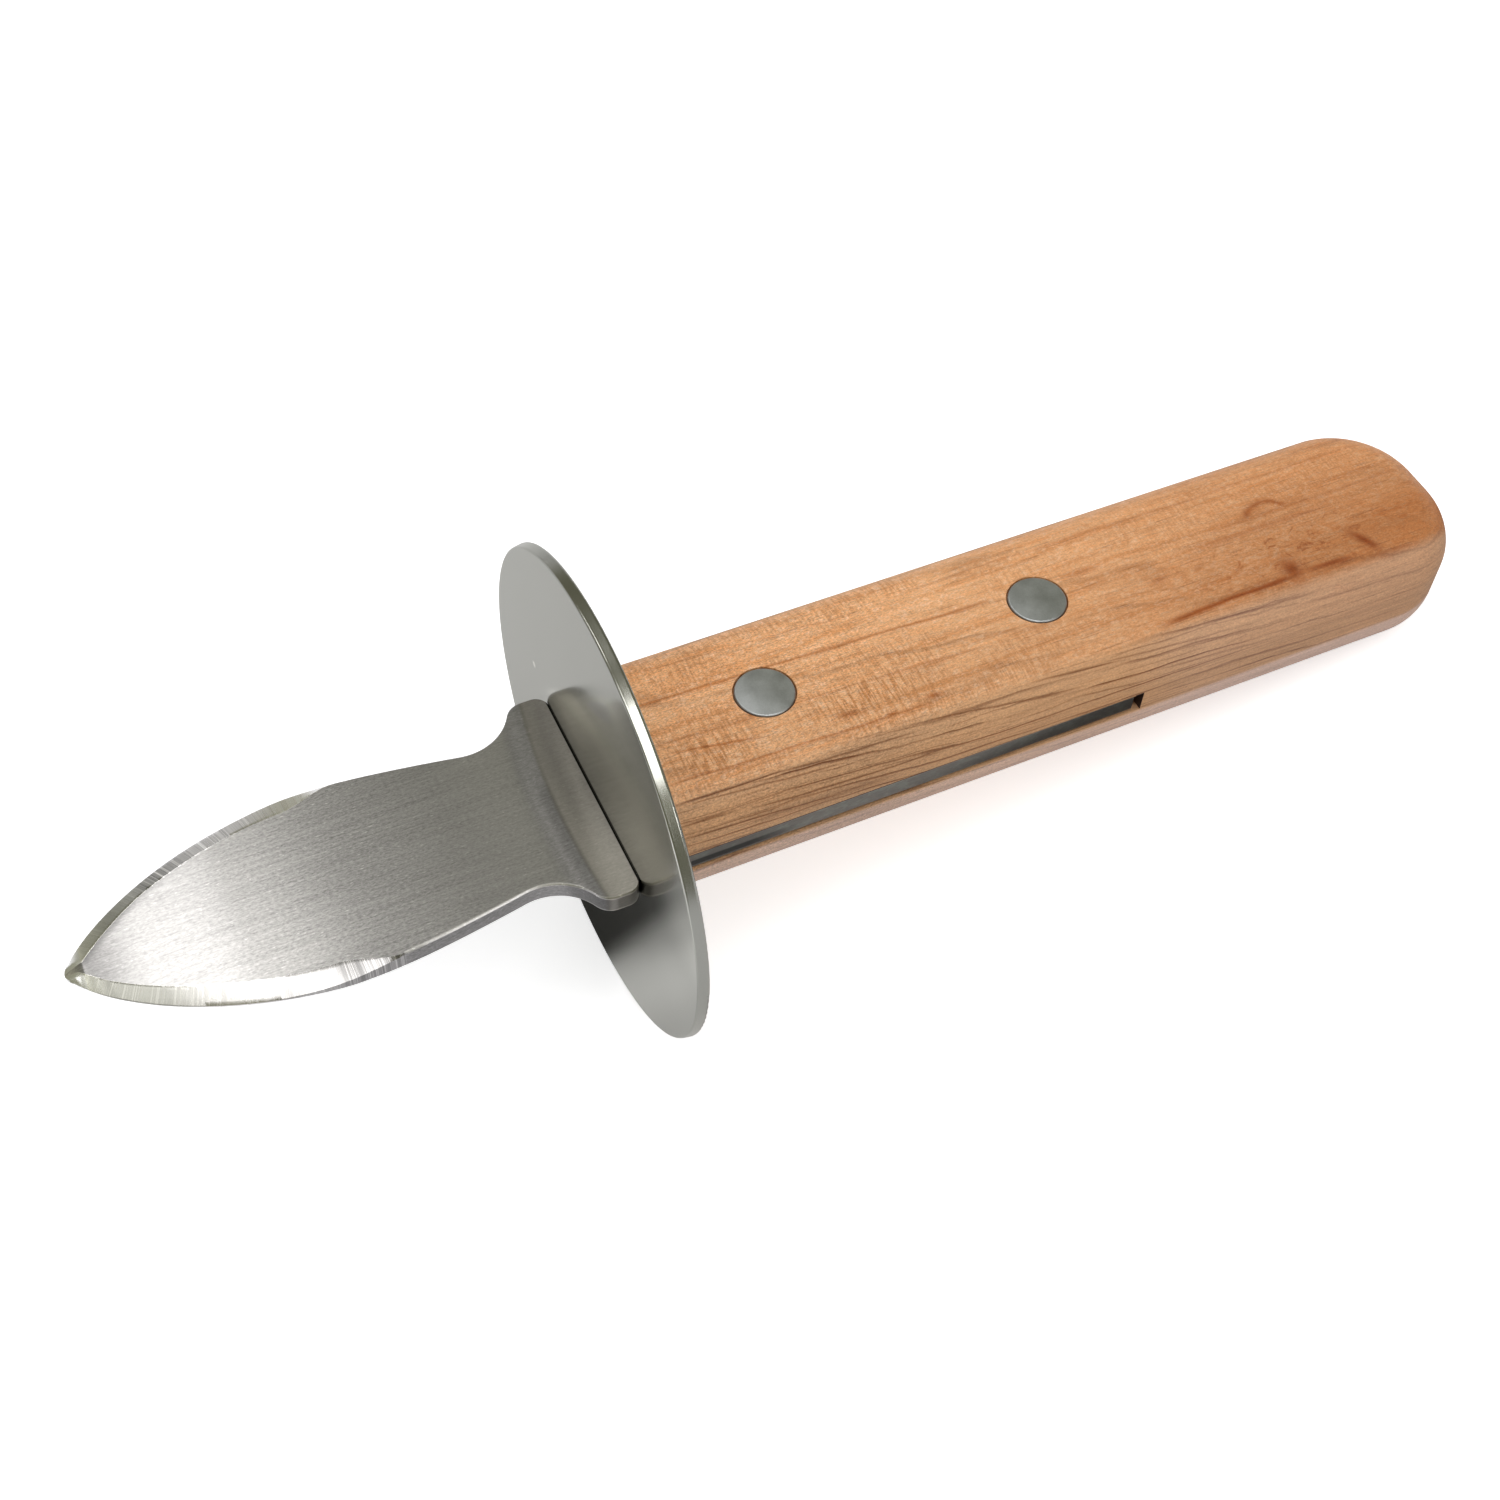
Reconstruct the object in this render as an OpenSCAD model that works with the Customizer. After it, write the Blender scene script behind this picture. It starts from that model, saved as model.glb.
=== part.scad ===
// Oyster knife with a spear blade, a round guard and a slotted wooden handle.
// The long axis is X, with the tip at -X and the butt at +X. Z is square to the blade's flats.
// The origin is on the long axis, midway between the tip and the butt.

/* [Blade] */
// Length of the blade from its tip to the guard
blade_l = 50.8; // [48:0.2:60]
// Width of the blade at its widest place
belly_w = 21.7; // [20:0.1:24]
// Distance from the tip to the widest place
belly_at = 23.4; // [20:0.2:26]
// Radius of the rounded tip, seen on the flat
nose_r = 1.3; // [0.6:0.1:2]
// Width of the neck behind the belly
neck_w = 17.2; // [17:0.1:19]
// Distance from the guard to the narrowest place of the neck
neck_to_guard = 9.2; // [9:0.1:12]
// Radius of the hollow that leads from the neck out to the shoulder
neck_r = 5.6; // [5.2:0.1:6.2]
// Angle at which the sides run into that hollow from the belly
neck_angle = 10.5; // [6:0.5:14]
// Width of the shoulder that bears on the guard
shoulder_w = 25.2; // [24:0.1:26]
// Radius of the shoulder's front corners
shoulder_r = 2; // [0.6:0.1:2]
// Radius of the shoulder's rear corners, which lie against the guard
rear_r = 1.4; // [0.4:0.1:1.4]
// Thickness of the ground blade
blade_t = 2; // [1.6:0.05:2.05]
// Thickness of the blade at its tip
tip_t = 1.3; // [0.8:0.05:1.5]
// Distance from the guard to the front of the step where the grinding starts
grind_to_guard = 5; // [3.6:0.1:7]
// Width of each sharpened bevel at the belly
bevel_w = 1.85; // [1:0.05:2.6]
// Width of each sharpened bevel at the tip
tip_bevel_w = 1.5; // [0.8:0.05:2]
// Thickness left at the sharpened edge
edge_t = 0.24; // [0.15:0.01:0.4]
// Width of the eased edge where the blade isn't sharpened
ease_w = 0.15; // [0.05:0.05:0.2]

/* [Tang] */
// Thickness of the steel at the shoulder and along the tang
tang_t = 2.2; // [2.1:0.05:2.25]
// Width of the tang
tang_w = 21.9; // [16:0.1:22]
// Length of the tang behind the guard
tang_l = 53.2; // [50:0.2:56]

/* [Guard] */
// Diameter of the guard
guard_d = 50; // [40:0.5:56]
// Thickness of the guard
guard_t = 1.2; // [1:0.1:2]
// Radius of the guard's eased rim
guard_ease = 0.25; // [0.1:0.05:0.4]
// How much smaller the guard's front face is than its rear face, in radius
guard_taper = 0.12; // [0:0.02:0.3]
// Clearance all round the tang in the guard's slot
guard_gap = 0.2; // [0.1:0.05:0.4]

/* [Handle] */
// Length of the handle
handle_l = 96; // [84:0.5:110]
// Width of the handle
handle_w = 22.2; // [22:0.1:24]
// Thickness of the handle
handle_t = 13.8; // [12.4:0.1:16]
// Radius of the handle's four long edges
handle_r = 4.9; // [2:0.1:5.4]
// Radius of the butt's two corners, seen on the broad face
butt_r = 9.6; // [6:0.1:10.8]
// Height of the saw slot that takes the tang
kerf_h = 2.5; // [2.45:0.05:3]
// How far the saw slot is cut below the middle, so that the tang lies on its upper face
kerf_drop = 0.1; // [0:0.01:0.1]
// Length of the saw slot left behind the tang
kerf_spare = 1; // [0.6:0.1:3]

/* [Rivets] */
// Distance from the guard's rear face to the front rivet
front_rivet_at = 16.9; // [12:0.1:20]
// Distance from the guard's rear face to the rear rivet
rear_rivet_at = 47.2; // [40:0.1:47.4]
// Diameter of the rivet heads
head_d = 6; // [5:0.1:7]
// Thickness of a rivet head at its rim
head_t = 0.8; // [0.6:0.05:1.2]
// Height of the dome on a rivet head
head_dome = 0.2; // [0.1:0.05:0.4]
// How far a head's rim stands above the wood
head_proud = 0.05; // [0:0.01:0.2]
// Clearance round a head in its seat
head_gap = 0.15; // [0.05:0.01:0.25]
// Outer diameter of the hollow rivet half
sleeve_d = 4; // [3.6:0.1:4.2]
// Diameter of the solid rivet half's shank
stem_d = 2.6; // [2:0.1:2.8]
// Clearance round the hollow half in the wood and the tang
sleeve_gap = 0.05; // [0.02:0.01:0.1]

/* [Hidden] */
$fn = 96;
steel = [0.70, 0.70, 0.68];
guard_steel = [0.62, 0.62, 0.60];
rivet_steel = [0.52, 0.53, 0.52];
wood = [0.84, 0.64, 0.48];
past = 1;

// Distance of the guard's rear face from the middle of the whole knife
guard_x = (blade_l + guard_t - handle_l) / 2;
shoulder_x = guard_x - guard_t;
tip_x = shoulder_x - blade_l;

// The outline: a small round nose, an ogive to the belly, a slack S down to the neck, a hollow
// arc out to the shoulder, and two round corners
ogive_power = 1.82;
ogive_round = 0.74;
tip_w = 0.4;
neck_at = blade_l - neck_to_guard;
join_at = neck_at - neck_r * sin(neck_angle);
join_y = neck_w / 2 + neck_r * (1 - cos(neck_angle));
slack_fall = belly_w / 2 - join_y;
slack_power = max(1.1, (join_at - belly_at) * tan(neck_angle) / slack_fall);
hollow_y = neck_w / 2 + neck_r;
corner_y = shoulder_w / 2 - shoulder_r;
corner_at = neck_at + sqrt(pow(neck_r + shoulder_r, 2) - pow(hollow_y - corner_y, 2));
meet_at = neck_at + (corner_at - neck_at) * neck_r / (neck_r + shoulder_r);
rear_at = blade_l - rear_r;

// Where the bevels start to narrow and end, and where the edge starts to thicken and is full
bevel_fade_at = belly_at - 0.8;
bevel_end_at = belly_at + 5;
edge_fade_at = belly_at - 7.4;
edge_full_at = belly_at + 8.1;
taper_at = 16;
grind_at = blade_l - grind_to_guard;
grind_run = 1.4;

// Spacing of the sections, which stand close together where the outline turns
nose_l = 2;
nose_steps = 9;
front_step = 0.5;
body_step = 0.6;
hollow_step = 0.4;
corner_step = 0.22;
rear_steps = 7;

// Share from 0 to 1 of the way from a to b, straight and eased
function share(v, a, b) = min(1, max(0, (v - a) / (b - a)));
function eased(v, a, b) = pow(share(v, a, b), 2) * (3 - 2 * share(v, a, b));

// Half the blade's width at a distance s behind the tip
function nose(s) = sqrt(pow(nose_r, 2) - pow(nose_r - min(s, nose_r), 2));
function ogive(s) = belly_w / 2 * pow(1 - pow(1 - s / belly_at, ogive_power), ogive_round);
function slack(s) = belly_w / 2 - slack_fall * pow(share(s, belly_at, join_at), slack_power);
function hollow(s) = hollow_y - sqrt(pow(neck_r, 2) - pow(s - neck_at, 2));
function corner(s) = corner_y + sqrt(pow(shoulder_r, 2) - pow(s - corner_at, 2));
function rear_corner(s) =
    shoulder_w / 2 - rear_r + sqrt(max(0, pow(rear_r, 2) - pow(s - rear_at, 2)));
function half_width(s) =
    s < belly_at ? max(tip_w / 2, nose(s), ogive(s)) :
    s < join_at ? slack(s) :
    s < meet_at ? hollow(s) :
    s < corner_at ? corner(s) :
    s < rear_at ? shoulder_w / 2 : rear_corner(s);

// Half the blade's thickness: thinner towards the tip, and full again behind the grinding
function half_thick(s) =
    (tip_t + (blade_t - tip_t) * eased(s, 0, taper_at)
    + (tang_t - blade_t) * eased(s, grind_at, grind_at + grind_run)) / 2;

// Width of the bevel on the flat, and half the thickness left at the edge
function bevel(s) =
    let (full = tip_bevel_w + (bevel_w - tip_bevel_w) * eased(s, 0, taper_at))
    min(0.62 * half_width(s), full - (full - ease_w) * eased(s, bevel_fade_at, bevel_end_at));
function half_edge(s) =
    let (blunt = half_thick(s) - 0.8 * ease_w)
    edge_t / 2 + (blunt - edge_t / 2) * eased(s, edge_fade_at, edge_full_at);

// One closed section of eight points, walked from the +Y edge over the top
function section(s) =
    let (x = tip_x + s, w = half_width(s), b = bevel(s), t = half_thick(s), e = half_edge(s))
    [
        [x, w, e], [x, w - b, t], [x, b - w, t], [x, -w, e],
        [x, -w, -e], [x, b - w, -t], [x, w - b, -t], [x, w, -e]
    ];

// Distances behind the tip at which the blade's sections stand
stations = [
    for (i = [0 : nose_steps - 1]) nose_l * pow(i / nose_steps, 2),
    for (s = [nose_l : front_step : belly_at - front_step / 2]) s,
    for (s = [belly_at : body_step : join_at - body_step / 2]) s,
    for (s = [join_at : hollow_step : meet_at - hollow_step / 2]) s,
    for (s = [meet_at : corner_step : corner_at - corner_step / 2]) s,
    corner_at,
    for (i = [0 : rear_steps]) rear_at + rear_r * sin(90 * i / rear_steps)
];

// The blade's skin: each section is joined to the next by two triangles a side
module blade_body() {
    rings = len(stations);
    sides = 8;
    rows = [for (s = stations) each section(s)];
    skin = [
        for (i = [0 : rings - 2])
            for (j = [0 : sides - 1])
                let (a = i * sides + j, b = i * sides + (j + 1) % sides)
                    each [[a, b + sides, b], [a, a + sides, b + sides]]
    ];
    tip_cap = [for (j = [0 : sides - 1]) j];
    rear_cap = [for (j = [sides - 1 : -1 : 0]) (rings - 1) * sides + j];
    polyhedron(points = rows, faces = concat([tip_cap], skin, [rear_cap]));
}

module rivet_hole(at, d) {
    translate([guard_x + at, 0, -handle_t / 2 - past])
        cylinder(d = d, h = handle_t + 2 * past);
}

module tang_body() {
    translate([shoulder_x, -tang_w / 2, -tang_t / 2])
        cube([guard_t + tang_l, tang_w, tang_t]);
}

module blade() {
    color(steel)
    difference() {
        union() {
            blade_body();
            tang_body();
        }
        rivet_hole(front_rivet_at, sleeve_d + 2 * sleeve_gap);
        rivet_hole(rear_rivet_at, sleeve_d + 2 * sleeve_gap);
    }
}

// A rectangle with round corners, centred on the origin
module round_rect(w, h, r) {
    square([w - 2 * r, h], center = true);
    square([w, h - 2 * r], center = true);
    for (x = [-1, 1])
        for (y = [-1, 1])
            translate([x * (w / 2 - r), y * (h / 2 - r)])
                circle(r = r);
}

// The slot clears the tang all round, and its ends are round
module guard_slot() {
    slot_h = tang_t + 2 * guard_gap;
    reach = tang_w / 2 + guard_gap + slot_h / 6 - slot_h / 2;
    translate([shoulder_x - past, 0, 0])
    rotate([0, 90, 0]) {
        translate([-slot_h / 2, -reach, 0])
            cube([slot_h, 2 * reach, guard_t + 2 * past]);
        for (y = [-reach, reach])
            translate([0, y, 0])
                cylinder(d = slot_h, h = guard_t + 2 * past);
    }
}

// Half section of the guard: its cut rim leans towards the front and has eased corners
module guard_profile() {
    rear_r_at = guard_d / 2 - guard_ease;
    front_r_at = rear_r_at - guard_taper;
    lean = atan(guard_taper / (guard_t - 2 * guard_ease));
    out = guard_ease * cos(lean);
    down = guard_ease * sin(lean);
    polygon([
        [0, 0], [front_r_at, 0],
        [front_r_at + out, guard_ease - down],
        [rear_r_at + out, guard_t - guard_ease - down],
        [rear_r_at, guard_t], [0, guard_t]
    ]);
    translate([front_r_at, guard_ease])
        circle(r = guard_ease);
    translate([rear_r_at, guard_t - guard_ease])
        circle(r = guard_ease);
}

module guard() {
    color(guard_steel)
    difference() {
        translate([shoulder_x, 0, 0])
        rotate([0, 90, 0])
        rotate_extrude()
            guard_profile();
        guard_slot();
    }
}

// The outer part of the handle's section, which turns round each of the butt's corners
module corner_profile(reach) {
    intersection() {
        round_rect(2 * reach, handle_t, handle_r);
        translate([0, -handle_t / 2])
            square([reach, handle_t]);
    }
}

module handle_body() {
    square_l = handle_l - butt_r;
    corner_reach = handle_w / 2 - butt_r;
    translate([guard_x, 0, 0])
    rotate([90, 0, 90])
    linear_extrude(square_l)
        round_rect(handle_w, handle_t, handle_r);
    translate([guard_x + square_l, 0, 0]) {
        for (side = [0, 1])
            mirror([0, side, 0])
            translate([0, corner_reach, 0])
            rotate_extrude(angle = 90)
                corner_profile(butt_r);
        translate([0, corner_reach, 0])
        rotate([90, 0, 0])
        linear_extrude(2 * corner_reach)
            corner_profile(butt_r);
    }
}

module kerf() {
    translate([guard_x - past, -handle_w / 2 - past, -kerf_h / 2 - kerf_drop])
        cube([past + tang_l + kerf_spare, handle_w + 2 * past, kerf_h]);
}

// Round seats for the rivet heads, sunk into both broad faces
module head_seats(at) {
    seat_z = handle_t / 2 + head_proud - head_t;
    for (side = [0, 1])
        mirror([0, 0, side])
        translate([guard_x + at, 0, seat_z])
            cylinder(d = head_d + 2 * head_gap, h = head_t + past);
}

module handle() {
    color(wood)
    difference() {
        handle_body();
        kerf();
        for (at = [front_rivet_at, rear_rivet_at]) {
            rivet_hole(at, sleeve_d + 2 * sleeve_gap);
            head_seats(at);
        }
    }
}

// A rivet head whose flat underside is at z = 0
module rivet_head() {
    rise = head_t + head_dome;
    dome_r = (pow(head_d / 2, 2) + pow(head_dome, 2)) / (2 * head_dome);
    intersection() {
        cylinder(d = head_d, h = rise + past);
        translate([0, 0, rise - dome_r])
            sphere(r = dome_r);
    }
}

// The solid half comes from above and the hollow half from below
module rivet_stem(at) {
    seat_z = handle_t / 2 + head_proud - head_t;
    stem_l = 1.6 * seat_z;
    translate([guard_x + at, 0, seat_z]) {
        rivet_head();
        translate([0, 0, -stem_l])
            cylinder(d = stem_d, h = stem_l);
    }
}

module rivet_sleeve(at) {
    seat_z = handle_t / 2 + head_proud - head_t;
    sleeve_l = 1.5 * seat_z;
    floor_t = 0.2;
    translate([guard_x + at, 0, -seat_z])
    difference() {
        union() {
            mirror([0, 0, 1])
                rivet_head();
            cylinder(d = sleeve_d, h = sleeve_l);
        }
        translate([0, 0, floor_t])
            cylinder(d = stem_d, h = sleeve_l);
    }
}

module front_rivet_stem() {
    color(rivet_steel) rivet_stem(front_rivet_at);
}

module front_rivet_sleeve() {
    color(rivet_steel) rivet_sleeve(front_rivet_at);
}

module rear_rivet_stem() {
    color(rivet_steel) rivet_stem(rear_rivet_at);
}

module rear_rivet_sleeve() {
    color(rivet_steel) rivet_sleeve(rear_rivet_at);
}

blade();
guard();
handle();
front_rivet_stem();
front_rivet_sleeve();
rear_rivet_stem();
rear_rivet_sleeve();
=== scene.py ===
"""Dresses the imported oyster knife: ground steel, sanded wood, riveted heads and a pale studio."""
import math

import bmesh
import bpy
import numpy as np
from bpy.props import FloatProperty, FloatVectorProperty, PointerProperty
from bpy.types import Operator, Panel, PropertyGroup
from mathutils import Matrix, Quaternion, Vector


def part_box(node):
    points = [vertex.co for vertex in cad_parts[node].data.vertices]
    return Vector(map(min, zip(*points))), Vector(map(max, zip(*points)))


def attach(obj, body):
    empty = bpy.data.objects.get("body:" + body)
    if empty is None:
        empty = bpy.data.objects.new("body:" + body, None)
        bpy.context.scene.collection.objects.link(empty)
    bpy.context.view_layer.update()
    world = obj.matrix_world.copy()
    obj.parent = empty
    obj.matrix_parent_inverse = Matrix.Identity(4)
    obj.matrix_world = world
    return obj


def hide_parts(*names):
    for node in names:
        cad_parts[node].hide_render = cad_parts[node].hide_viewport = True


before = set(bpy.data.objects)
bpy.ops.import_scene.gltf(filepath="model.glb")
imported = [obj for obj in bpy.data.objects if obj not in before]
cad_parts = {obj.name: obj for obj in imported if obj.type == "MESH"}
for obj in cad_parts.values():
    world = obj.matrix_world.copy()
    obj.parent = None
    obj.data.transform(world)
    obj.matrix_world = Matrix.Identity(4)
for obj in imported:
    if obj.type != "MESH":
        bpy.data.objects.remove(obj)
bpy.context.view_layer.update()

bl_info = {
    "name": "Oyster Knife",
    "version": (1, 0, 0),
    "blender": (4, 5, 0),
    "location": "View3D > Sidebar > Knife",
    "description": "Builds a short blade, its round guard, a riveted handle and a pale studio",
    "category": "Object",
}

MM = 0.001
BODY = "root"
TO_MM = 1 / MM
EDGE_RADIUS = 4.9  # of the handle's rounded edges, in millimetres
OGIVE = (1.82, 0.74)  # powers of the blade's outline from the tip to the belly
TAPER = 16 * MM  # length over which the tip's sizes change to the belly's
WIDTH_RUN = (0.8 * MM, 5.0 * MM)  # the bevels' width runs out from before the belly to behind it
DEPTH_RUN = (7.4 * MM, 8.1 * MM)  # and so does their depth
STEP_RUN = (1.6 * MM, 1.4 * MM)  # the ground step rises from before its place to behind it
STEP_BOW = 0.9  # of the ground step towards the tip, in millimetres at half the shoulder's width
STEP_TURN = 0.25  # the bow's middle is this share of half the width towards the near side
FAR_WIDER = 0.28  # how much wider the far bevel is at the tip
NOSE_SLOPE = 1.8 * MM  # length over which the flats fall to the tip
LIP = 0.03 * MM  # first step from the edge on to the bevel
HOLE_GAP = 0.05 * MM  # between a rivet's sleeve and the tang
BEVEL_POINTS, FLAT_POINTS = 6, 31  # of a ring, across a bevel and between the bevels
AROUND = 96  # points round a turned piece and round the floor
FLOOR_REACH = 3.0  # radius of the floor, in metres
GROWTH = 1.46  # width of a year ring, in millimetres
RIVET_NODES = ("front_rivet_stem", "front_rivet_sleeve", "rear_rivet_stem", "rear_rivet_sleeve")

BLADE_LOW, BLADE_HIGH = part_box("blade")
GUARD_LOW, GUARD_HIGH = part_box("guard")
HANDLE_LOW, HANDLE_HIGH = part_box("handle")
TIP_X = BLADE_LOW.x
SHOULDER_X = GUARD_LOW.x
GUARD_REAR_X = GUARD_HIGH.x
BLADE_LENGTH = SHOULDER_X - TIP_X
TANG_END_X = BLADE_HIGH.x


def length(name, description, default):
    """A property in metres whose default is a size of the knife."""
    return FloatProperty(
        name=name, description=description, default=default,
        min=0.0, soft_max=0.2, precision=5, unit="LENGTH", subtype="DISTANCE",
    )


def amount(name, description, default, highest=10.0):
    """A plain number property."""
    return FloatProperty(name=name, description=description, default=default, min=0.0, max=highest)


def colour(name, description, default):
    """A colour property, written as sRGB bytes and kept as linear light."""
    return FloatVectorProperty(
        name=name, description=description, default=linear(default),
        min=0.0, max=1.0, size=3, subtype="COLOR",
    )


def linear(srgb):
    """Linear light for an sRGB colour given as three bytes."""
    parts = [v / 255 for v in srgb]
    return tuple(v / 12.92 if v <= 0.04045 else ((v + 0.055) / 1.055) ** 2.4 for v in parts)


class BladeSizes(PropertyGroup):
    """Sizes of the blade and its tang."""
    belly_width: length("Belly width", "Width of the blade at its widest place", 21.7 * MM)
    belly_at: length("Belly place", "Distance from the tip to the widest place", 23.4 * MM)
    nose_radius: length("Tip radius", "Radius of the rounded tip", 1.3 * MM)
    neck_width: length("Neck width", "Width of the blade at its neck", 17.2 * MM)
    neck_to_guard: length("Neck place", "Distance from the guard to the neck", 9.2 * MM)
    hollow_radius: length("Hollow radius", "Radius between neck and shoulder", 5.6 * MM)
    neck_angle: FloatProperty(name="Neck angle", description="Angle of the sides at the neck",
                              default=math.radians(10.5), min=0.05, max=0.3, unit="ROTATION")
    shoulder_width: length("Shoulder width", "Width of the shoulder", 25.2 * MM)
    corner_radius: length("Corner radius", "Radius of the shoulder's front corners", 2.0 * MM)
    rear_radius: length("Rear corner radius", "Radius of the shoulder's rear corners", 1.4 * MM)
    blade_thickness: length("Blade thickness", "Thickness of the ground blade", 2.0 * MM)
    tip_thickness: length("Tip thickness", "Thickness of the blade at its tip", 1.3 * MM)
    tang_thickness: length("Tang thickness", "Thickness of shoulder and tang", 2.2 * MM)
    tang_width: length("Tang width", "Width of the tang", 21.9 * MM)
    grind_to_guard: length("Grinding place", "Distance from the guard to the step", 5.0 * MM)
    bevel_width: length("Bevel width", "Width of each bevel at the belly", 1.85 * MM)
    tip_bevel_width: length("Tip bevel width", "Width of each bevel at the tip", 1.5 * MM)
    edge_thickness: length("Edge thickness", "Thickness left at the edge", 0.24 * MM)
    eased_edge: length("Eased edge", "Width of the eased edge behind the bevels", 0.15 * MM)


class RivetSizes(PropertyGroup):
    """Sizes of the two cutler's rivets."""
    head_thickness: length("Head thickness", "Thickness of a head at its rim", 0.8 * MM)
    head_dome: length("Head dome", "Height of the dome on a head", 0.2 * MM)
    rim_radius: length("Rim radius", "Radius of a head's rolled rim", 0.22 * MM)
    shank_diameter: length("Shank diameter", "Diameter of the solid half", 2.6 * MM)
    sleeve_diameter: length("Sleeve diameter", "Outer diameter of the hollow half", 4.0 * MM)
    sleeve_floor: length("Sleeve floor", "Steel left under the hollow half's bore", 0.2 * MM)


class Finishes(PropertyGroup):
    """Colours of the steel and the wood."""
    blade_steel: colour("Blade steel", "Colour of the brushed blade", (171, 169, 169))
    guard_steel: colour("Guard steel", "Colour of the satin guard", (160, 160, 155))
    rivet_steel: colour("Rivet steel", "Colour of the dull rivet heads", (183, 186, 190))
    scale_steel: colour("Unground steel", "Colour of the shoulder", (134, 130, 122))
    tang_stain: colour("Tang stain", "Colour of the patches on the tang's edge", (152, 154, 146))
    # painted reflection: a faint olive tint for the bevels near the tip
    tip_reflection_tint: colour("Tip tint", "Tint of the bevels near the tip", (253, 255, 247))
    wood_pale: colour("Pale wood", "Colour between the streaks", (236, 182, 132))
    wood_light: colour("Light flecks", "Colour of the pale flecks", (242, 204, 168))
    wood_warm: colour("Warm wood", "Colour of the soft streaks", (212, 143, 84))
    wood_side: colour("Side wood", "Colour of the narrow sides", (200, 154, 110))
    wood_dark: colour("Dark wood", "Colour of the ring lines", (122, 70, 28))
    wood_rust: colour("Rust streaks", "Colour of the short brown streaks", (170, 92, 28))
    wood_oiled: colour("Oiled wood", "Tint of the darker wood towards the butt", (224, 192, 158))
    wood_ash: colour("Ashen wood", "Colour of the lower rounded edge", (230, 202, 190))
    # painted shade: a near-black brown for the inside of the saw slot
    slot_shade: colour("Slot", "Colour inside the saw slot", (48, 30, 22))


class StudioSettings(PropertyGroup):
    """Floor, lamps and camera."""
    floor_colour: colour("Floor", "Colour of the floor", (244, 244, 244))
    ceiling: colour("Ceiling", "Colour of the dim ceiling in the steel", (133, 132, 111))
    ambient: amount("Ambient", "Strength of the world on matt surfaces", 0.5)
    top: amount("Top lamp", "Power of the lamp above the tip, in watts", 0.62, 100.0)
    front: amount("Front lamp", "Power of the lamp above the near side, in watts", 1.15, 100.0)
    back: amount("Back lamp", "Power of the lamp behind the blade, in watts", 0.58, 100.0)
    fill: amount("Fill lamp", "Power of the low lamp in front, in watts", 0.50, 100.0)
    butt_edge: length("Butt edge", "Radius of the butt's edge on the floor", 4.9 * MM)
    rim_edge: length("Rim edge", "Radius of the guard's edge on the floor", 0.25 * MM)
    lens: FloatProperty(name="Lens", description="Focal length of the camera", default=50.15,
                        min=10, max=300, unit="CAMERA")
    camera_place: FloatVectorProperty(
        name="Camera place", description="Where the camera stands",
        default=(-65.99 * MM, -112.32 * MM, 162.23 * MM), size=3, unit="LENGTH", subtype="XYZ")
    camera_turn: FloatVectorProperty(
        name="Camera turn", description="The camera's rotation",
        default=tuple(math.radians(v) for v in (37.771, -2.236, -25.107)), size=3,
        unit="ROTATION", subtype="EULER")


class KnifeSettings(PropertyGroup):
    """Everything a user may change."""
    blade: PointerProperty(type=BladeSizes)
    rivets: PointerProperty(type=RivetSizes)
    finishes: PointerProperty(type=Finishes)
    studio: PointerProperty(type=StudioSettings)


class Wire:
    """One output of a material's nodes. Arithmetic on it adds Math nodes."""

    def __init__(self, sheet, socket):
        self.sheet = sheet
        self.socket = socket

    def _math(self, operation, *values):
        return self.sheet.add("ShaderNodeMath", {"operation": operation}, values)

    def __add__(self, other):
        return self._math("ADD", self, other)

    def __sub__(self, other):
        return self._math("SUBTRACT", self, other)

    def __rsub__(self, other):
        return self._math("SUBTRACT", other, self)

    def __mul__(self, other):
        return self._math("MULTIPLY", self, other)

    def __truediv__(self, other):
        return self._math("DIVIDE", self, other)

    __radd__ = __add__
    __rmul__ = __mul__

    def call(self, operation, *values):
        """Any other Math operation, with this output as its first value."""
        return self._math(operation, self, *values)

    def ramp(self, low, high, out_low=0.0, out_high=1.0):
        """Eased step: out_low below low, out_high above high."""
        return self.sheet.add(
            "ShaderNodeMapRange", {"interpolation_type": "SMOOTHSTEP"},
            (self, low, high, out_low, out_high))


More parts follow.
